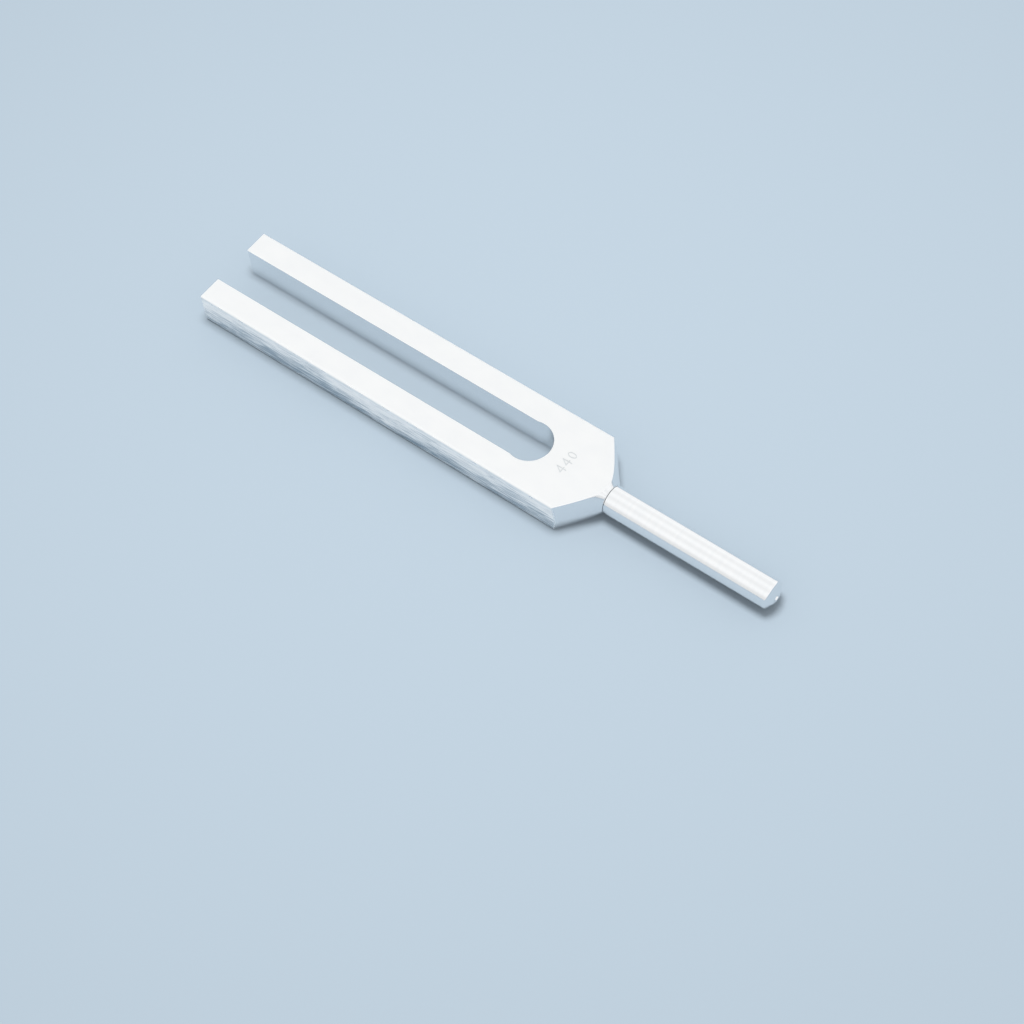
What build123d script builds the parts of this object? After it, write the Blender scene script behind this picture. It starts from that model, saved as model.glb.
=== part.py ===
"""Two-tine aluminium tuning fork: a machined head, a turned stem and the stud that joins them.

The fork lies flat. +X runs from the tine tips to the free end of the stem, +Y runs across the
tines and +Z is up. The origin is at the bottom centre of the whole fork. Millimetres.
"""
import os
from math import radians, sqrt, tan

from build123d import *

os.makedirs("parts", exist_ok=True)

# ---------------------------------------------------------------- driving dimensions
head_width = 34.0             # across both tines
head_thickness = 12.7         # half-inch bar
head_length = 161.75          # tine tips to the small end of the cone
tine_width = 9.4
slot_end_diameter = 15.9      # drilled hole at the root of the slot, a little wider than the slot
slot_end_centre = 129.2       # tine tips to the centre of that hole
cone_half_angle = 50.0        # degrees, about the stem's axis
cone_small_radius = 4.9
edge_break = 0.25             # deburred edges of the bar
tip_corner = 0.4              # filed upright corners at the tine tips

stem_diameter = 10.3          # 13/32 inch
stem_end_x = 112.75           # half of the fork's length
stem_gap = 0.1                # hairline between the cone and the stem
stem_lead_chamfer = 0.3
stem_nose_length = 1.6        # taper at the free end, along the stem
stem_foot_radius = 2.2        # flat foot that the taper leaves
centre_mark_radius = 1.1      # lathe centre mark in the foot
centre_mark_angle = 30.0      # degrees, half of the 60 degree centre drill

stud_diameter = 6.0           # M6 set screw
stud_length = 25.0
stud_end_chamfer = 0.6
thread_pitch = 1.0
hex_across_flats = 3.0
hex_depth = 3.5

thread_clearance = 0.05       # radial, stud to tapped hole
tapped_depth = 14.0
mouth_chamfer = 0.3
drill_point_angle = 59.0      # degrees, half of the 118 degree drill point

digit_height = 3.4            # pitch mark on the yoke
digit_width = 2.0
digit_spacing = 3.2
digit_stroke = 0.35
digit_depth = 0.12
pitch_mark_from_slot = 7.0    # slot end to the middle of the pitch mark

# ---------------------------------------------------------------- worked-out places
tip_x = -stem_end_x
shoulder_x = tip_x + head_length
slot_centre_x = tip_x + slot_end_centre
slot_end_x = slot_centre_x + slot_end_diameter / 2
slot_width = head_width - 2 * tine_width
stem_start_x = shoulder_x + stem_gap
stem_radius = stem_diameter / 2
stud_radius = stud_diameter / 2
bore_radius = stud_radius + thread_clearance
drill_point = bore_radius / tan(radians(drill_point_angle))
stem_plane = Plane.XZ


def at_axis(points):
    """Places (x, radius) points in the upright plane through the stem's axis."""
    return [(x, head_thickness / 2 + radius) for x, radius in points]


stem_axis = Axis((0, 0, head_thickness / 2), (1, 0, 0))


def tapped_hole(mouth_x, inward):
    """Half outline of a blind tapped hole; inward is +1 or -1 along X."""
    end_x = mouth_x + inward * tapped_depth
    return [
        (mouth_x, bore_radius + mouth_chamfer),
        (mouth_x + inward * mouth_chamfer, bore_radius),
        (end_x, bore_radius),
        (end_x + inward * drill_point, 0),
    ]


# ---------------------------------------------------------------- fork head
# One bar with square tines. The slot is sawn into a drilled hole, and the base is turned to a
# cone, whose edges on the flat faces are hyperbolas.
turned_radius = sqrt(head_width**2 + head_thickness**2) / 2 + 2
turned_start_x = shoulder_x - (turned_radius - cone_small_radius) / tan(radians(cone_half_angle))
overrun = 5.0

with BuildPart() as fork_head:
    with BuildSketch():
        with Locations((tip_x, 0)):
            Rectangle(head_length, head_width, align=(Align.MIN, Align.CENTER))
        with Locations((tip_x - overrun, 0)):
            Rectangle(
                slot_end_centre + overrun,
                slot_width,
                align=(Align.MIN, Align.CENTER),
                mode=Mode.SUBTRACT,
            )
        with Locations((slot_centre_x, 0)):
            Circle(slot_end_diameter / 2, mode=Mode.SUBTRACT)
    extrude(amount=head_thickness)
    tip_corners = fork_head.edges().filter_by(Axis.Z).group_by(Axis.X)[0]
    fillet(tip_corners, tip_corner)
    flat_faces = fork_head.faces().filter_by(Axis.Z)
    chamfer(flat_faces.edges(), edge_break)

    turned_outline = [
        (tip_x - overrun, 0),
        (tip_x - overrun, turned_radius),
        (turned_start_x, turned_radius),
        (shoulder_x, cone_small_radius),
        (shoulder_x, 0),
    ]
    with BuildSketch(stem_plane):
        with BuildLine():
            Polyline(*at_axis(turned_outline), close=True)
        make_face()
    revolve(axis=stem_axis, mode=Mode.INTERSECT)

    with BuildSketch(stem_plane):
        with BuildLine():
            Polyline(*at_axis(tapped_hole(shoulder_x, -1) + [(shoulder_x, 0)]), close=True)
        make_face()
    revolve(axis=stem_axis, mode=Mode.SUBTRACT)

    # Engraved pitch mark across the yoke: three plain digits that read along +Y.
    mark_x = slot_end_x + pitch_mark_from_slot
    half_height = digit_height / 2
    half_width = digit_width / 2
    with BuildSketch(Plane((mark_x, 0, head_thickness), x_dir=(0, 1, 0), z_dir=(0, 0, 1))):
        for middle in (-digit_spacing, 0):
            top = Vector(middle + half_width / 2, half_height)
            bottom = Vector(middle + half_width / 2, -half_height)
            left = Vector(middle - half_width, -half_height / 3)
            right = Vector(middle + half_width, -half_height / 3)
            for start, end in ((bottom, top), (top, left), (left, right)):
                stroke = end - start
                slant = Vector(1, 0).get_signed_angle(stroke)
                with Locations((start + end) * 0.5):
                    Rectangle(stroke.length + digit_stroke, digit_stroke, rotation=slant)
        with Locations((digit_spacing, 0)):
            Ellipse(half_width, half_height)
            Ellipse(half_width - digit_stroke, half_height - digit_stroke, mode=Mode.SUBTRACT)
    extrude(amount=-digit_depth, mode=Mode.SUBTRACT)

fork_head.part.label = "fork_head"
export_step(fork_head.part, "parts/fork_head.step")

# ---------------------------------------------------------------- stem
# A plain turned rod: tapped at the head end, tapered to a small flat foot at the free end, with
# the lathe's centre mark in it.
centre_mark_depth = centre_mark_radius / tan(radians(centre_mark_angle))
stem_outline = [
    (stem_start_x, stem_radius - stem_lead_chamfer),
    (stem_start_x + stem_lead_chamfer, stem_radius),
    (stem_end_x - stem_nose_length, stem_radius),
    (stem_end_x, stem_foot_radius),
    (stem_end_x, centre_mark_radius),
    (stem_end_x - centre_mark_depth, 0),
]

with BuildPart() as stem:
    with BuildSketch(stem_plane):
        with BuildLine():
            Polyline(*at_axis(stem_outline + tapped_hole(stem_start_x, 1)[::-1]), close=True)
        make_face()
    revolve(axis=stem_axis)

stem.part.label = "stem"
export_step(stem.part, "parts/stem.step")

# ---------------------------------------------------------------- joining stud
# A headless set screw, half in the head and half in the stem. Its thread is drawn as rings at
# the real pitch, with the standard 60 degree flanks.
stud_start_x = shoulder_x - stud_length / 2
stud_end_x = stud_start_x + stud_length
thread_depth = 0.6134 * thread_pitch
crest_flat = thread_pitch / 8
root_flat = thread_pitch / 4
flank = (thread_pitch - crest_flat - root_flat) / 2
chamfered_radius = stud_radius - stud_end_chamfer
groove_count = int((stud_length - 2 * stud_end_chamfer) / thread_pitch)
groove_start_x = (stud_start_x + stud_end_x - groove_count * thread_pitch) / 2

stud_outline = [
    (stud_start_x, 0),
    (stud_start_x, chamfered_radius),
    (stud_start_x + stud_end_chamfer, stud_radius),
]
for groove in range(groove_count):
    groove_x = groove_start_x + groove * thread_pitch + crest_flat / 2
    stud_outline += [
        (groove_x, stud_radius),
        (groove_x + flank, stud_radius - thread_depth),
        (groove_x + flank + root_flat, stud_radius - thread_depth),
        (groove_x + 2 * flank + root_flat, stud_radius),
    ]
stud_outline += [
    (stud_end_x - stud_end_chamfer, stud_radius),
    (stud_end_x, chamfered_radius),
    (stud_end_x, 0),
]

with BuildPart() as joining_stud:
    with BuildSketch(stem_plane):
        with BuildLine():
            Polyline(*at_axis(stud_outline), close=True)
        make_face()
    revolve(axis=stem_axis)
    with BuildSketch(Plane((stud_end_x, 0, head_thickness / 2), z_dir=(1, 0, 0))):
        RegularPolygon(hex_across_flats / 2, 6, major_radius=False)
    extrude(amount=-hex_depth, mode=Mode.SUBTRACT)

joining_stud.part.label = "joining_stud"
export_step(joining_stud.part, "parts/joining_stud.step")
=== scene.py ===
"""Looks for the tuning fork: aluminium head and stem, threaded stud between them, pale floor, soft light.

The frame is in metres: +X from the tine tips to the stem's free end, +Y across the tines, +Z up, with the
origin at the bottom centre of the fork. The meshes are worked out in millimetres of it and then scaled.
"""

from math import atan2, cos, pi, radians, sin, sqrt, tan

import bmesh
import bpy
from mathutils import Matrix, Vector


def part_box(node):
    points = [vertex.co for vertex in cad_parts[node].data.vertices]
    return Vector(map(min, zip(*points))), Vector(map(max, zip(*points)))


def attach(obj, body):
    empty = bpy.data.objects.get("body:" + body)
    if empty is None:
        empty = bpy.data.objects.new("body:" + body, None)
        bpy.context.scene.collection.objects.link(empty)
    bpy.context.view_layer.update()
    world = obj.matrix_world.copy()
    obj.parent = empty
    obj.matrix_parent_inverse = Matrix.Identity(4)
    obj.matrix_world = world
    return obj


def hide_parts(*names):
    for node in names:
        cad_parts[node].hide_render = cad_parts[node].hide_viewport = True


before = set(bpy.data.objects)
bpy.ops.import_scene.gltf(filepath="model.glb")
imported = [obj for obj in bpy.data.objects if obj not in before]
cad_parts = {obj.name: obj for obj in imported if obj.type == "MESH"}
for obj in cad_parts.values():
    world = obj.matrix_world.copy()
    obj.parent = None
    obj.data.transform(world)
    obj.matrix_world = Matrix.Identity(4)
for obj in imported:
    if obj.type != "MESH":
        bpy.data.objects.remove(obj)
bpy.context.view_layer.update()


MM = 0.001
head_low, head_high = [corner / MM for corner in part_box("fork_head")]
stem_low, stem_high = [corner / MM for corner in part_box("stem")]
stud_low, stud_high = [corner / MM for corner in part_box("joining_stud")]
axis_z = (head_low.z + head_high.z) / 2
half_width = head_high.y
half_thickness = (head_high.z - head_low.z) / 2

# ---------------------------------------------------------------- sizes the boxes don't give, in mm
TINE_WIDTH = 9.4
SLOT_END_RADIUS = 7.95
SLOT_CENTRE_FROM_TIPS = 129.2
CONE_HALF_ANGLE = radians(50)
CONE_SMALL_RADIUS = 4.9
CRISP_EDGE = 0.22          # deburred edges
WORN_EDGE = 1.0            # long outer edges, rounded by belt sanding
CORNER_EDGE = 0.4          # upright corners at the tine tips
SHOULDER_EDGE = 0.1        # small end of the cone

STEM_LEAD_CHAMFER = 0.3
STEM_NOSE_LENGTH = 1.6
STEM_FOOT_RADIUS = 2.2
CENTRE_MARK_RADIUS = 1.1
CENTRE_MARK_TIP_RADIUS = 0.02
CENTRE_MARK_HALF_ANGLE = radians(30)
CRISP_SOFTENING = 0.1      # a turned corner's curve starts this far from it
NOSE_SOFTENING = 0.5       # the same at both ends of the nose's taper

THREAD_PITCH = 1.0
THREAD_DEPTH = 0.6134
TAPPED_DEPTH = 14.0
TAPPED_RADIUS = 3.05
TAPPED_GROOVE = 0.25
MOUTH_CHAMFER = 0.3
DRILL_HALF_ANGLE = radians(59)
STUD_END_CHAMFER = 0.6
HEX_ACROSS_FLATS = 3.0
HEX_DEPTH = 3.5
HEX_LEAD_IN = 0.25
HEX_DRILL_POINT = 0.6

DIGIT_HEIGHT = 3.4
DIGIT_WIDTH = 2.0
DIGIT_SPACING = 3.2
DIGIT_STROKE = 0.35
DIGIT_DEPTH = 0.12
CUTTER_ABOVE = 0.5         # how far a digit's cutter stands above the top face
PITCH_MARK_FROM_SLOT = 7.0

# ---------------------------------------------------------------- worked-out places
tip_x = head_low.x
shoulder_x = head_high.x
slot_centre_x = tip_x + SLOT_CENTRE_FROM_TIPS
slot_half_width = half_width - TINE_WIDTH
pitch_mark_x = slot_centre_x + SLOT_END_RADIUS + PITCH_MARK_FROM_SLOT
stem_radius = (stem_high.z - stem_low.z) / 2
stud_radius = (stud_high.z - stud_low.z) / 2


# ---------------------------------------------------------------- camera
LENS_MM = 80.6
SENSOR_MM = 36.0
CAMERA_DISTANCE = 0.7358
CAMERA_AZIMUTH = radians(43.88)
CAMERA_ELEVATION = radians(57.0)
CAMERA_ROLL = radians(-7.53)
CAMERA_TARGET = Vector((0.02575, -0.0222, axis_z * MM))


def add_camera():
    """Camera at the photograph's viewing angle, looking down from the stem's near side."""
    back = Vector(
        (
            sin(CAMERA_AZIMUTH) * cos(CAMERA_ELEVATION),
            -cos(CAMERA_AZIMUTH) * cos(CAMERA_ELEVATION),
            sin(CAMERA_ELEVATION),
        )
    )
    level = Vector((cos(CAMERA_AZIMUTH), sin(CAMERA_AZIMUTH), 0.0))
    rise = back.cross(level)
    right = level * cos(CAMERA_ROLL) + rise * sin(CAMERA_ROLL)
    up = rise * cos(CAMERA_ROLL) - level * sin(CAMERA_ROLL)
    data = bpy.data.cameras.new("camera")
    data.lens = LENS_MM
    data.sensor_width = SENSOR_MM
    data.clip_start = 0.01
    data.clip_end = 20.0
    camera = bpy.data.objects.new("camera", data)
    turn = Matrix((right, up, back)).transposed().to_4x4()
    camera.matrix_world = Matrix.Translation(CAMERA_TARGET + back * CAMERA_DISTANCE) @ turn
    bpy.context.scene.collection.objects.link(camera)
    bpy.context.scene.camera = camera


add_camera()


# ---------------------------------------------------------------- shader nodes
def add_node(tree, kind, settings=None, inputs=None):
    """A new node, with its settings and its inputs given as values or as sockets to link."""
    node = tree.nodes.new(kind)
    for name, value in (settings or {}).items():
        setattr(node, name, value)
    for name, value in (inputs or {}).items():
        if isinstance(value, bpy.types.NodeSocket):
            tree.links.new(value, node.inputs[name])
        else:
            node.inputs[name].default_value = value
    return node


def work_out(tree, operation, first, second=0.0):
    """The result of one sum on sockets or numbers."""
    return add_node(tree, "ShaderNodeMath", {"operation": operation}, {0: first, 1: second}).outputs[0]


def stretch(tree, value, low, high, new_low, new_high):
    """The value's range low to high, stretched to new_low to new_high and held at its ends."""
    inputs = {"Value": value, "From Min": low, "From Max": high, "To Min": new_low, "To Max": new_high}
    return add_node(tree, "ShaderNodeMapRange", inputs=inputs).outputs[0]


# ---------------------------------------------------------------- metal materials
class Metal:
    """A metal whose detail comes from patterns laid out in the part's own millimetres."""

    NOISE_LOW = 0.3            # most of a noise lies between these
    NOISE_HIGH = 0.7

    def __init__(self, name, color, roughness):
        self.material = bpy.data.materials.new(name)
        self.material.use_nodes = True
        self.tree = self.material.node_tree
        self.shader = self.tree.nodes["Principled BSDF"]
        self.shader.inputs["Base Color"].default_value = (*color, 1)
        self.shader.inputs["Metallic"].default_value = 1.0
        self.shader.inputs["Roughness"].default_value = roughness
        place = self.node("ShaderNodeTexCoord").outputs["Object"]
        to_mm = self.node("ShaderNodeVectorMath", {"operation": "SCALE"}, {0: place, "Scale": 1 / MM})
        self.place = to_mm.outputs[0]
        split = self.node("ShaderNodeSeparateXYZ", inputs={0: self.place})
        self.x, self.y, self.z = split.outputs
        from_axis = self.maths("SUBTRACT", self.z, axis_z)
        across = self.maths("MULTIPLY", self.y, self.y)
        upward = self.maths("MULTIPLY", from_axis, from_axis)
        self.radius = self.maths("SQRT", self.maths("ADD", across, upward))

    def node(self, kind, settings=None, inputs=None):
        """A new node of this metal."""
        return add_node(self.tree, kind, settings, inputs)

    def maths(self, operation, first, second=0.0):
        """The result of one sum on sockets or numbers."""
        return work_out(self.tree, operation, first, second)

    def noise(self, grain, detail=3.0, distortion=0.0):
        """Noise from 0 to 1 whose grains are about the given size in mm along X, Y and Z."""
        per_mm = tuple(1 / length for length in grain)
        scaled = self.node("ShaderNodeVectorMath", {"operation": "MULTIPLY"}, {0: self.place, 1: per_mm})
        inputs = {"Vector": scaled.outputs[0], "Scale": 1.0, "Detail": detail, "Distortion": distortion}
        return self.node("ShaderNodeTexNoise", inputs=inputs).outputs[0]

    def waves(self, distance, spacing):
        """A ripple from -1 to 1 that repeats every spacing mm of the distance."""
        return self.maths("SINE", self.maths("MULTIPLY", distance, 2 * pi / spacing))

    def remap(self, value, low, high, new_low, new_high):
        """The value's range low to high, stretched to new_low to new_high and held at its ends."""
        return stretch(self.tree, value, low, high, new_low, new_high)

    def spread(self, noise, low, high):
        """A noise, stretched to run from low to high."""
        return self.remap(noise, self.NOISE_LOW, self.NOISE_HIGH, low, high)

    def swing(self, noise, strength):
        """A noise, moved to swing about 0 by up to half its strength."""
        return self.maths("MULTIPLY", self.maths("SUBTRACT", noise, 0.5), strength)

    def tint(self, share, dark, light):
        """Colours the metal from dark, where share is 0, to light, where it is 1."""
        inputs = {0: share, 6: (*dark, 1), 7: (*light, 1)}
        mix = self.node("ShaderNodeMix", {"data_type": "RGBA"}, inputs)
        self.tree.links.new(mix.outputs[2], self.shader.inputs["Base Color"])

    def roughen(self, roughness):
        """Takes the roughness from a pattern."""
        self.tree.links.new(roughness, self.shader.inputs["Roughness"])

    def engrave(self, height, depth):
        """Raises the surface by height, where 1 is depth mm."""
        inputs = {"Height": height, "Distance": depth * MM, "Strength": 1.0}
        bump = self.node("ShaderNodeBump", inputs=inputs)
        self.tree.links.new(bump.outputs[0], self.shader.inputs["Normal"])


def faced_aluminium():
    """Satin flat faces of the bar: a very fine lengthwise grain and a faint mottling."""
    metal = Metal("faced_aluminium", (0.93, 0.935, 0.935), 0.34)
    grain = metal.noise((5.0, 0.16, 0.16), detail=4)
    mottle = metal.noise((9.0, 6.0, 6.0), detail=3)
    metal.tint(metal.spread(mottle, 0, 1), (0.915, 0.922, 0.925), (0.94, 0.944, 0.942))
    metal.roughen(metal.spread(grain, 0.29, 0.38))
    metal.engrave(grain, 0.006)
    return metal.material


def milled_aluminium_painted_sheen():
    """Outer sides of the tines: coarse, broken streaks along the bar, shallow near the top. The colour
    holds painted light: painted sheen on the streaks and towards the top, and painted shade, a dark bluish
    grey, between the streaks and towards the bottom.
    """
    scratch_strength = 0.6
    patch_strength = 0.9
    # How much painted sheen the streaks and the top add to the colour.
    streak_sheen_share = 0.55
    top_sheen_share = 0.75
    streak_depth = 0.3
    metal = Metal("milled_aluminium_painted_sheen", (0.9, 0.92, 0.93), 0.5)
    height = metal.remap(metal.z, head_low.z, head_high.z, 0, 1)
    streaks = metal.noise((8.0, 1.5, 0.42), detail=3, distortion=0.3)
    scratches = metal.noise((4.0, 1.0, 0.22), detail=2, distortion=0.2)
    patches = metal.noise((24.0, 10.0, 5.0), detail=2)
    lines = metal.maths("ADD", streaks, metal.swing(scratches, scratch_strength))
    shifted_height = metal.maths("ADD", height, metal.swing(patches, patch_strength))
    # Higher up the side: rougher, and lighter in colour as painted sheen.
    rubbed = metal.remap(shifted_height, 0.1, 0.85, 0, 1)
    streak_sheen = metal.remap(lines, 0.42, 0.58, 0, 1)
    painted_streak_sheen = metal.maths("MULTIPLY", streak_sheen, streak_sheen_share)
    painted_top_sheen = metal.maths("MULTIPLY", rubbed, top_sheen_share)
    painted_sheen = metal.maths("ADD", painted_streak_sheen, painted_top_sheen)
    # Painted light: the colour runs from a dark bluish grey, painted shade with a painted reflection of
    # the floor, to near white, painted sheen.
    metal.tint(metal.remap(painted_sheen, 0.0, 0.9, 0, 1), (0.33, 0.42, 0.49), (0.975, 0.98, 0.98))
    metal.roughen(metal.remap(rubbed, 0, 1, 0.42, 0.8))
    calm = metal.remap(height, 0.78, 0.95, 1, 0.3)
    metal.engrave(metal.maths("MULTIPLY", lines, calm), streak_depth)
    return metal.material


def bored_aluminium():
    """Slot walls: drawn smooth, nearly a mirror, with faint lines along the slot."""
    metal = Metal("bored_aluminium", (0.88, 0.9, 0.915), 0.15)
    lines = metal.noise((14.0, 14.0, 0.5), detail=3)
    metal.roughen(metal.spread(lines, 0.12, 0.2))
    metal.engrave(lines, 0.002)
    return metal.material


def turned_aluminium(name, spacing, depth, roughness):
    """Lathe-turned surface: fine rings round the stem's axis and slightly uneven polish."""
    metal = Metal(name, (0.9, 0.908, 0.915), roughness)
    along = metal.maths("ADD", metal.x, metal.radius)
    rings = metal.waves(along, spacing)
    drift = metal.noise((1.2, 30.0, 30.0), detail=3)
    handled = metal.noise((16.0, 5.0, 5.0), detail=3)
    metal.roughen(metal.spread(handled, roughness * 0.8, roughness * 1.3))
    metal.tint(metal.spread(drift, 0, 1), (0.885, 0.895, 0.905), (0.915, 0.92, 0.925))
    metal.engrave(metal.maths("ADD", rings, drift), depth)
    return metal.material


def stamped_aluminium():
    """Floor and walls of the pitch mark's digits: dull and a little darker than the face."""
    metal = Metal("stamped_aluminium", (0.78, 0.8, 0.81), 0.45)
    pits = metal.noise((0.3, 0.3, 0.3), detail=3)
    metal.roughen(metal.spread(pits, 0.4, 0.6))
    metal.engrave(pits, 0.02)
    return metal.material


def worn_aluminium():
    """Rounded and rubbed edges, brighter than the faces beside them."""
    metal = Metal("worn_aluminium", (0.945, 0.95, 0.95), 0.3)
    rubbed = metal.noise((4.0, 1.2, 0.5), detail=3)
    metal.roughen(metal.spread(rubbed, 0.24, 0.4))
    metal.engrave(rubbed, 0.012)
    return metal.material


def zinc_steel():
    """Plated set screw: cool grey, with a cloudy plating."""
    metal = Metal("zinc_steel", (0.6, 0.61, 0.63), 0.3)
    cloud = metal.noise((1.6, 1.6, 1.6), detail=4)
    metal.tint(metal.spread(cloud, 0, 1), (0.52, 0.53, 0.56), (0.68, 0.69, 0.7))
    metal.roughen(metal.spread(cloud, 0.24, 0.4))
    metal.engrave(cloud, 0.01)
    return metal.material


# ---------------------------------------------------------------- mesh helpers, in mm
CREASE_ANGLE = radians(38)  # sharper corners aren't shaded smooth


def round_point(x, radius, angle):
    """A point round the stem's axis, at an angle from +Y towards +Z."""
    return Vector((x, radius * cos(angle), axis_z + radius * sin(angle)))


def add_ring(bm, x, radii, angles):
    """A closed ring of points, with one radius or a list of them."""
    if not isinstance(radii, list):
        radii = [radii] * len(angles)
    return [bm.verts.new(round_point(x, radius, angle)) for radius, angle in zip(radii, angles)]


def join_rings(bm, first, second, finish=0):
    """A closed band of quads between two rings."""
    for i in range(len(first)):
        j = (i + 1) % len(first)
        face = bm.faces.new((first[i], first[j], second[j], second[i]))
        face.material_index = finish


def close_ring(bm, ring, x, finish=0):
    """A fan from a ring to a point on the axis."""
    middle = bm.verts.new((x, 0, axis_z))
    for i in range(len(ring)):
        face = bm.faces.new((ring[i], ring[(i + 1) % len(ring)], middle))
        face.material_index = finish


def turn_outline(bm, start_ring, outline, angles, finish=0):
    """Carries a ring on through (x, radius) points, and returns the last ring."""
    ring = start_ring
    for x, radius in outline:
        following = add_ring(bm, x, radius, angles)
        join_rings(bm, ring, following, finish)
        ring = following
    return ring


def softened(outline, cuts):
    """The outline with its inner corners made into short curves, each starting its cut from the corner."""
    points = [Vector(outline[0])]
    steps = 4
    for before, corner, after, cut in zip(outline, outline[1:], outline[2:], cuts):
        corner = Vector(corner)
        start = corner + (Vector(before) - corner).normalized() * cut
        end = corner + (Vector(after) - corner).normalized() * cut
        for step in range(steps + 1):
            t = step / steps
            points.append(start * (1 - t) ** 2 + corner * (2 * t * (1 - t)) + end * t**2)
    points.append(Vector(outline[-1]))
    return points


def thread_height(x, angle):
    """Height of a right-hand 60 degree thread: 1 on its crest and 0 in its root."""
    turns = x / THREAD_PITCH - angle / (2 * pi)
    from_crest = 2 * abs((turns + 0.5) % 1.0 - 0.5)
    crest_end = 1 / 8
    root_start = 3 / 4
    share = min(max((root_start - from_crest) / (root_start - crest_end), 0), 1)
    return share * share * (3 - 2 * share)


def cut_thread(bm, ring, end_x, radius_at, angles, rows_per_pitch, finish=0):
    """Carries a ring on to end_x with radius_at(x, angle) for its points, and returns the last ring."""
    start_x = ring[0].co.x
    rows = round(abs(end_x - start_x) / THREAD_PITCH * rows_per_pitch)
    for row in range(1, rows + 1):
        x = start_x + (end_x - start_x) * row / rows
        following = add_ring(bm, x, [radius_at(x, angle) for angle in angles], angles)
        join_rings(bm, ring, following, finish)
        ring = following
    return ring


def tap_hole(bm, mouth_ring, mouth_x, inward, angles, finish=0):
    """A blind tapped hole from the ring at its mouth; inward is +1 or -1 along X."""
    neck_x = mouth_x + inward * MOUTH_CHAMFER
    neck = turn_outline(bm, mouth_ring, [(neck_x, TAPPED_RADIUS)], angles, finish)
    end_x = mouth_x + inward * TAPPED_DEPTH

    def groove(x, angle):
        """The hole's radius, with its thread cut outwards and fading out at both ends."""
        run_out = min(abs(x - neck_x), abs(end_x - x), THREAD_PITCH) / THREAD_PITCH
        return TAPPED_RADIUS + TAPPED_GROOVE * run_out * thread_height(x, angle)

    bottom = cut_thread(bm, neck, end_x, groove, angles, rows_per_pitch=8, finish=finish)
    drill_point = TAPPED_RADIUS / tan(DRILL_HALF_ANGLE)
    close_ring(bm, bottom, end_x + inward * drill_point, finish)


def add_object(name, bm, finishes):
    """An object from a millimetre mesh, scaled to metres, with its normals outwards and its finishes."""
    bmesh.ops.recalc_face_normals(bm, faces=bm.faces)
    bmesh.ops.scale(bm, vec=(MM, MM, MM), verts=bm.verts)
    mesh = bpy.data.meshes.new(name)
    bm.to_mesh(mesh)
    bm.free()
    for material in finishes:
        mesh.materials.append(material)
    item = bpy.data.objects.new(name, mesh)
    bpy.context.scene.collection.objects.link(item)
    return item


def apply_modifiers(item):
    """Replaces the object's mesh with what its modifiers make of it."""
    shown = item.evaluated_get(bpy.context.evaluated_depsgraph_get())
    item.data = bpy.data.meshes.new_from_object(shown)
    item.modifiers.clear()


def finish_piece(piece, body, node):
    """Smooth shading with crisp corners, and the piece's place in the frame."""
    mesh = piece.data
    mesh.polygons.foreach_set("use_smooth", [True] * len(mesh.polygons))
    mesh.set_sharp_from_angle(angle=CREASE_ANGLE)
    piece.modifiers.new("even_shading", "WEIGHTED_NORMAL").keep_sharp = True
    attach(piece, body)
    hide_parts(node)


# ---------------------------------------------------------------- fork head
FACED, MILLED, BORED, TURNED, WORN, STAMPED = range(6)
HEAD_TOP_STEPS = 46        # points on each curve where the cone cuts a flat face
HEAD_SIDE_STEPS = 10       # points on each curve where it cuts an outer side
CONE_ROWS = 5
SLOT_END_STEPS = 60
NOUGHT_STEPS = 40
ROUNDING_STEPS = 5
ROUNDING = "bevel_weight_edge"  # the mesh's name for each edge's share of the rounding
UPRIGHT_SLOPE = 0.3        # a face is upright while its normal tilts up or down less than this


def head_angles():
    """Angles round the stem's axis, with the bar's four corners among them."""
    corner = atan2(half_thickness, half_width)
    angles = []
    for start, span, steps in (
        (-corner, 2 * corner, HEAD_SIDE_STEPS),
        (corner, pi - 2 * corner, HEAD_TOP_STEPS),
        (pi - corner, 2 * corner, HEAD_SIDE_STEPS),
        (pi + corner, pi - 2 * corner, HEAD_TOP_STEPS),
    ):
        angles += [start + span * step / steps for step in range(steps)]
    return angles


def bar_reach(angle):
    """How far the bar's surface is from the stem's axis at that angle."""
    across = half_width / max(abs(cos(angle)), 1e-9)
    upward = half_thickness / max(abs(sin(angle)), 1e-9)
    return min(across, upward)


def slot_outline():
    """The slot's outline from above, from one tine's inner corner round to the other's."""
    meeting = sqrt(SLOT_END_RADIUS**2 - slot_half_width**2)
    opening = atan2(slot_half_width, -meeting)
    arc = [-opening + 2 * opening * step / SLOT_END_STEPS for step in range(SLOT_END_STEPS + 1)]
    rounded = [(slot_centre_x + SLOT_END_RADIUS * cos(a), SLOT_END_RADIUS * sin(a)) for a in arc]
    return [(tip_x, -slot_half_width)] + rounded + [(tip_x, slot_half_width)]


def add_wall(bm, top, bottom, finish):
    """Upright quads between two rows of points."""
    for i in range(len(top) - 1):
        face = bm.faces.new((top[i], top[i + 1], bottom[i + 1], bottom[i]))
        face.material_index = finish


def weigh_edges(bm, chosen, width):
    """Gives edges their rounding, as a share of the widest one."""
    weights = bm.edges.layers.float.get(ROUNDING)
    for edge in chosen:
        edge[weights] = width / WORN_EDGE


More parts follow.
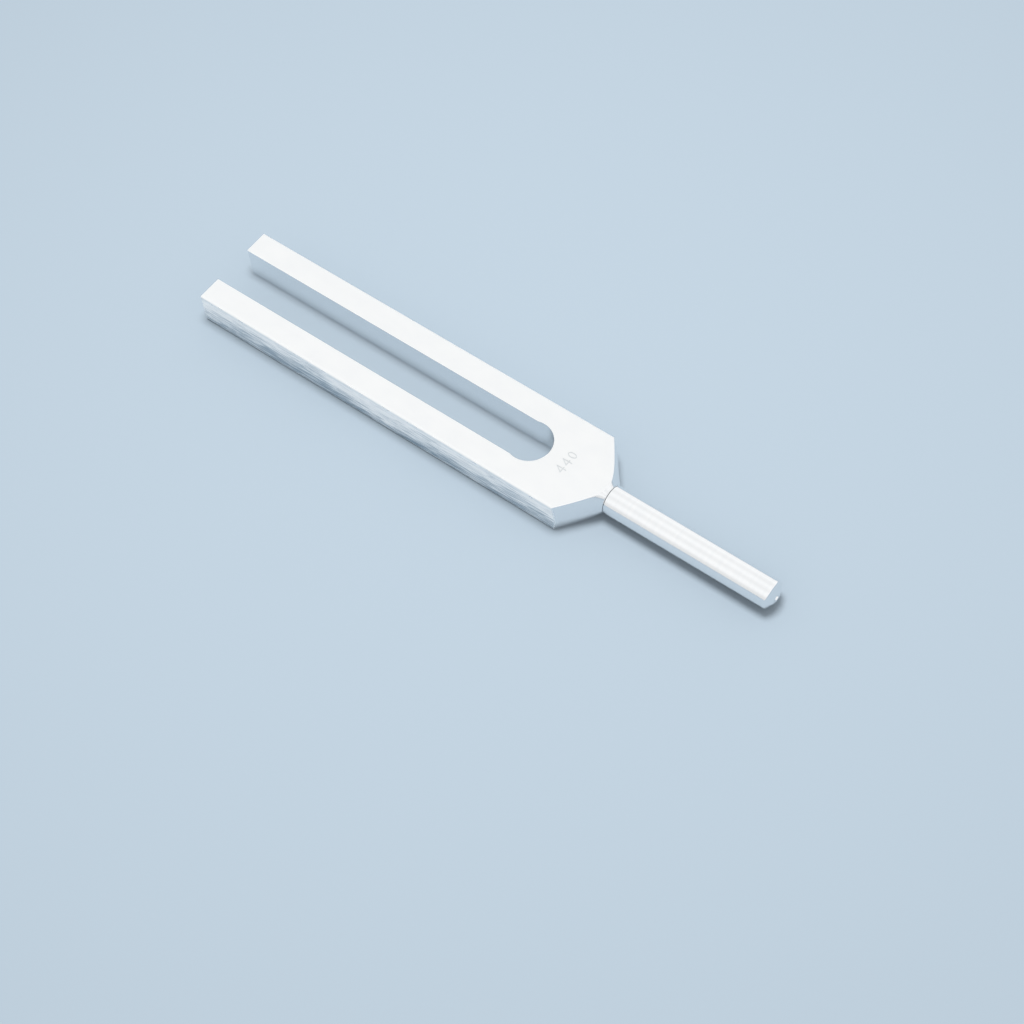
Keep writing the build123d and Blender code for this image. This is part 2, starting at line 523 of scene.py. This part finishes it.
def build_head_blank():
    """The head before its edges are rounded: flat faces, slot, outer sides, cone and tapped hole."""
    bm = bmesh.new()
    bm.edges.layers.float.new(ROUNDING)
    angles = head_angles()

    def cone_ring(share):
        """A ring on the cone, from the bar's surface at 0 to the small end at 1."""
        ring = []
        for angle in angles:
            radius = bar_reach(angle) * (1 - share) + CONE_SMALL_RADIUS * share
            x = shoulder_x - (radius - CONE_SMALL_RADIUS) / tan(CONE_HALF_ANGLE)
            ring.append(bm.verts.new(round_point(x, radius, angle)))
        return ring

    rim = cone_ring(0)
    ring = rim
    for row in range(1, CONE_ROWS + 1):
        following = cone_ring(row / CONE_ROWS)
        join_rings(bm, ring, following, TURNED)
        ring = following
    small_end = ring
    mouth_radius = TAPPED_RADIUS + MOUTH_CHAMFER
    mouth = turn_outline(bm, small_end, [(shoulder_x, mouth_radius)], angles, TURNED)
    tap_hole(bm, mouth, shoulder_x, -1, angles, TURNED)

    # The rim's four stretches, each with both of its corners; left is +Y.
    left_end = HEAD_SIDE_STEPS
    top_end = left_end + HEAD_TOP_STEPS
    right_end = top_end + HEAD_SIDE_STEPS
    left_side = rim[: left_end + 1]
    top_edge = rim[left_end : top_end + 1]
    right_side = rim[top_end : right_end + 1]
    bottom_edge = rim[right_end:] + rim[:1]

    def level_points(z):
        """The slot's outline and the tips' outer corners at one height."""
        slot = [bm.verts.new((x, y, z)) for x, y in slot_outline()]
        return bm.verts.new((tip_x, -half_width, z)), slot, bm.verts.new((tip_x, half_width, z))

    top_right, top_slot, top_left = level_points(head_high.z)
    low_right, low_slot, low_left = level_points(head_low.z)
    faces = [bm.faces.new(top_edge + [top_right] + top_slot + [top_left])]
    faces.append(bm.faces.new(bottom_edge + [low_left] + low_slot[::-1] + [low_right]))
    for face in faces:
        face.material_index = FACED
    for face in (
        bm.faces.new(left_side + [top_left, low_left]),
        bm.faces.new(right_side + [low_right, top_right]),
    ):
        face.material_index = MILLED
    add_wall(bm, top_slot, low_slot, BORED)
    add_wall(bm, [top_right, top_slot[0]], [low_right, low_slot[0]], FACED)
    add_wall(bm, [top_slot[-1], top_left], [low_slot[-1], low_left], FACED)

    flat_edges = [edge for face in faces for edge in face.edges]
    weigh_edges(bm, flat_edges, CRISP_EDGE)
    cone_rim = [bm.edges.get((rim[i], rim[(i + 1) % len(rim)])) for i in range(len(rim))]
    weigh_edges(bm, cone_rim, CRISP_EDGE)
    ends = [bm.edges.get((small_end[i - 1], small_end[i])) for i in range(len(small_end))]
    weigh_edges(bm, ends, SHOULDER_EDGE)
    uprights = [(top_right, low_right), (top_left, low_left), (top_slot[0], low_slot[0])]
    uprights.append((top_slot[-1], low_slot[-1]))
    weigh_edges(bm, [bm.edges.get(pair) for pair in uprights], CORNER_EDGE)
    long_edges = [(top_edge[-1], top_right), (top_edge[0], top_left)]
    long_edges += [(bottom_edge[0], low_right), (bottom_edge[-1], low_left)]
    weigh_edges(bm, [bm.edges.get(pair) for pair in long_edges], WORN_EDGE)
    return bm


def add_stroke(bm, start, end):
    """A square-ended stroke as an upright block that cuts the digit's depth into the top face."""
    along = (end - start).normalized() * (DIGIT_STROKE / 2)
    aside = Vector((-along.y, along.x))
    corners = [start - along - aside, end + along - aside, end + along + aside, start - along + aside]
    add_block(bm, corners)


def cutter_rings(bm, plan):
    """A plan outline's points at the bottom and at the top of a digit's cutter."""
    levels = (head_high.z - DIGIT_DEPTH, head_high.z + CUTTER_ABOVE)
    return [[bm.verts.new((point.x, point.y, z)) for point in plan] for z in levels]


def add_block(bm, corners):
    """An upright block on a plan outline, as tall as a digit's cutter."""
    low, high = cutter_rings(bm, corners)
    bm.faces.new(low[::-1])
    bm.faces.new(high)
    for i in range(len(corners)):
        j = (i + 1) % len(corners)
        bm.faces.new((low[i], low[j], high[j], high[i]))


def digit_point(middle, across, up):
    """A point of a digit; digits read along +Y, with their tops towards the tines."""
    return Vector((pitch_mark_x - up, middle + across))


def add_four(bm, middle):
    """The strokes of a 4."""
    top = digit_point(middle, DIGIT_WIDTH / 4, DIGIT_HEIGHT / 2)
    bottom = digit_point(middle, DIGIT_WIDTH / 4, -DIGIT_HEIGHT / 2)
    left = digit_point(middle, -DIGIT_WIDTH / 2, -DIGIT_HEIGHT / 6)
    right = digit_point(middle, DIGIT_WIDTH / 2, -DIGIT_HEIGHT / 6)
    for start, end in ((bottom, top), (top, left), (left, right)):
        add_stroke(bm, start, end)


def add_nought(bm, middle):
    """The stroke of a 0, as an upright oval tube."""
    turns = [2 * pi * step / NOUGHT_STEPS for step in range(NOUGHT_STEPS)]

    def oval_rings(width, height):
        """The cutter's two rings on an oval of that size."""
        plan = [digit_point(middle, width / 2 * cos(t), height / 2 * sin(t)) for t in turns]
        return cutter_rings(bm, plan)

    inner_low, inner_high = oval_rings(DIGIT_WIDTH - 2 * DIGIT_STROKE, DIGIT_HEIGHT - 2 * DIGIT_STROKE)
    outer_low, outer_high = oval_rings(DIGIT_WIDTH, DIGIT_HEIGHT)
    join_rings(bm, inner_low, outer_low)
    join_rings(bm, outer_low, outer_high)
    join_rings(bm, outer_high, inner_high)
    join_rings(bm, inner_high, inner_low)


def round_edges(head):
    """Rounds the weighted edges, and gives the upright parts by the slot the look of its walls."""
    rounding = head.modifiers.new("rounding", "BEVEL")
    rounding.limit_method = "WEIGHT"
    rounding.width = WORN_EDGE * MM
    rounding.segments = ROUNDING_STEPS
    rounding.use_clamp_overlap = False
    rounding.material = WORN
    apply_modifiers(head)
    slot_reach = (slot_half_width + CORNER_EDGE) * MM
    for face in head.data.polygons:
        upright = abs(face.normal.z) < UPRIGHT_SLOPE
        by_slot = abs(face.center.y) < slot_reach
        if face.material_index == WORN and upright and by_slot:
            face.material_index = BORED


def stamp_digit(head, add_digit, middle, finishes):
    """Cuts one digit of the pitch mark into the top face, centred on middle across the fork."""
    bm = bmesh.new()
    add_digit(bm, middle)
    for face in bm.faces:
        face.material_index = STAMPED
    stamp = add_object("stamp", bm, finishes)
    cut = head.modifiers.new("cut", "BOOLEAN")
    cut.operation = "DIFFERENCE"
    cut.object = stamp
    cut.use_self = add_digit is add_four  # a four's strokes overlap
    apply_modifiers(head)
    bpy.data.objects.remove(stamp)


def build_head():
    """The finished head: blank, rounded edges and the engraved pitch mark."""
    finishes = [faced_aluminium(), milled_aluminium_painted_sheen(), bored_aluminium()]
    finishes.append(turned_aluminium("turned_cone", 0.32, 0.0012, 0.11))
    finishes += [worn_aluminium(), stamped_aluminium()]
    head = add_object("head", build_head_blank(), finishes)
    round_edges(head)
    stamp_digit(head, add_four, -DIGIT_SPACING, finishes)
    stamp_digit(head, add_four, 0, finishes)
    stamp_digit(head, add_nought, DIGIT_SPACING, finishes)
    finish_piece(head, "head", "fork_head")


# ---------------------------------------------------------------- stem
RING_POINTS = 72           # round the stem and the stud
ring_angles = [2 * pi * step / RING_POINTS for step in range(RING_POINTS)]


def build_stem():
    """The turned rod: tapped at the head end, tapered and centre-marked at the free end."""
    start_x = stem_low.x
    end_x = stem_high.x
    mark_depth = CENTRE_MARK_RADIUS / tan(CENTRE_MARK_HALF_ANGLE)
    outline = [
        (start_x, TAPPED_RADIUS + MOUTH_CHAMFER),
        (start_x, stem_radius - STEM_LEAD_CHAMFER),
        (start_x + STEM_LEAD_CHAMFER, stem_radius),
        (end_x - STEM_NOSE_LENGTH, stem_radius),
        (end_x, STEM_FOOT_RADIUS),
        (end_x, CENTRE_MARK_RADIUS),
        (end_x - mark_depth, CENTRE_MARK_TIP_RADIUS),
    ]
    cuts = [CRISP_SOFTENING, CRISP_SOFTENING, NOSE_SOFTENING, NOSE_SOFTENING, CRISP_SOFTENING]
    points = softened(outline, cuts)
    bm = bmesh.new()
    mouth = add_ring(bm, *points[0], ring_angles)
    last = turn_outline(bm, mouth, points[1:], ring_angles)
    close_ring(bm, last, end_x - mark_depth)
    tap_hole(bm, mouth, start_x, 1, ring_angles)
    stem = add_object("stem_rod", bm, [turned_aluminium("turned_stem", 0.12, 0.0006, 0.1)])
    finish_piece(stem, "stem", "stem")


# ---------------------------------------------------------------- joining stud
def build_stud():
    """A headless set screw with its real helical thread and a hexagon socket."""
    start_x = stud_low.x
    end_x = stud_high.x
    end_radius = stud_radius - STUD_END_CHAMFER

    def threaded(x, angle):
        """The thread's radius, cut down by the chamfers at both ends."""
        radius = stud_radius - THREAD_DEPTH + THREAD_DEPTH * thread_height(x, angle)
        return min(radius, end_radius + min(x - start_x, end_x - x))

    bm = bmesh.new()
    first = add_ring(bm, start_x, end_radius, ring_angles)
    close_ring(bm, first, start_x)
    last = cut_thread(bm, first, end_x, threaded, ring_angles, rows_per_pitch=12)
    side = pi / 3
    hexagon = [HEX_ACROSS_FLATS / 2 / cos((angle % side) - side / 2) for angle in ring_angles]
    mouth = turn_outline(bm, last, [(end_x, max(hexagon) + HEX_LEAD_IN)], ring_angles)
    rim = add_ring(bm, end_x - HEX_LEAD_IN, hexagon, ring_angles)
    floor = add_ring(bm, end_x - HEX_DEPTH, hexagon, ring_angles)
    join_rings(bm, mouth, rim)
    join_rings(bm, rim, floor)
    close_ring(bm, floor, end_x - HEX_DEPTH - HEX_DRILL_POINT)
    stud = add_object("set_screw", bm, [zinc_steel()])
    finish_piece(stud, "stud", "joining_stud")


build_head()
build_stem()
build_stud()


# ---------------------------------------------------------------- floor and light
def add_floor():
    """A plain pale floor at the height that the fork rests on."""
    half_side = 2.0
    mesh = bpy.data.meshes.new("floor")
    corners = [(-half_side, -half_side, 0), (half_side, -half_side, 0)]
    corners += [(half_side, half_side, 0), (-half_side, half_side, 0)]
    mesh.from_pydata(corners, [], [(0, 1, 2, 3)])
    floor = bpy.data.objects.new("floor", mesh)
    bpy.context.scene.collection.objects.link(floor)
    material = bpy.data.materials.new("pale_floor")
    material.use_nodes = True
    shader = material.node_tree.nodes["Principled BSDF"]
    shader.inputs["Base Color"].default_value = (0.25, 0.298, 0.342, 1)
    shader.inputs["Roughness"].default_value = 1.0
    shader.inputs["Specular IOR Level"].default_value = 0.0
    mesh.materials.append(material)


def add_overhead_lamp():
    """A soft lamp almost straight above the fork, for the shadows; the metal doesn't mirror it."""
    place = Vector((-0.02, 0.04, 0.90))
    data = bpy.data.lights.new("overhead", "AREA")
    data.shape = "DISK"
    data.size = 0.38
    data.energy = 10.5
    lamp = bpy.data.objects.new("overhead", data)
    facing = place.to_track_quat("Z", "Y")
    lamp.matrix_world = Matrix.Translation(place) @ facing.to_matrix().to_4x4()
    lamp.visible_glossy = False
    bpy.context.scene.collection.objects.link(lamp)


def add_tent():
    """Soft white light from all round, as in a light tent made of lengthwise panels."""
    strength = 1.02
    panel_gain = 0.045
    panel_width = radians(56)
    brightest = radians(25)
    dim_from = radians(150)
    dim_to = radians(182)
    dim_strength = 0.8
    world = bpy.data.worlds.new("tent")
    world.use_nodes = True
    tree = world.node_tree
    direction = add_node(tree, "ShaderNodeTexCoord").outputs["Generated"]
    split = add_node(tree, "ShaderNodeSeparateXYZ", inputs={0: direction})
    angle = work_out(tree, "ARCTAN2", split.outputs[2], split.outputs[1])  # from +Y, over the top
    from_brightest = work_out(tree, "SUBTRACT", angle, brightest)
    ripple = work_out(tree, "COSINE", work_out(tree, "MULTIPLY", from_brightest, 2 * pi / panel_width))
    panels = work_out(tree, "ADD", work_out(tree, "MULTIPLY", ripple, panel_gain), 1.0)
    dimming = stretch(tree, angle, dim_from, dim_to, 1.0, dim_strength)
    total = work_out(tree, "MULTIPLY", work_out(tree, "MULTIPLY", panels, dimming), strength)
    background = tree.nodes["Background"]
    background.inputs["Color"].default_value = (0.985, 0.995, 1.0, 1)
    tree.links.new(total, background.inputs["Strength"])
    bpy.context.scene.world = world


add_floor()
add_overhead_lamp()
add_tent()
bpy.context.scene.view_settings.view_transform = "Standard"
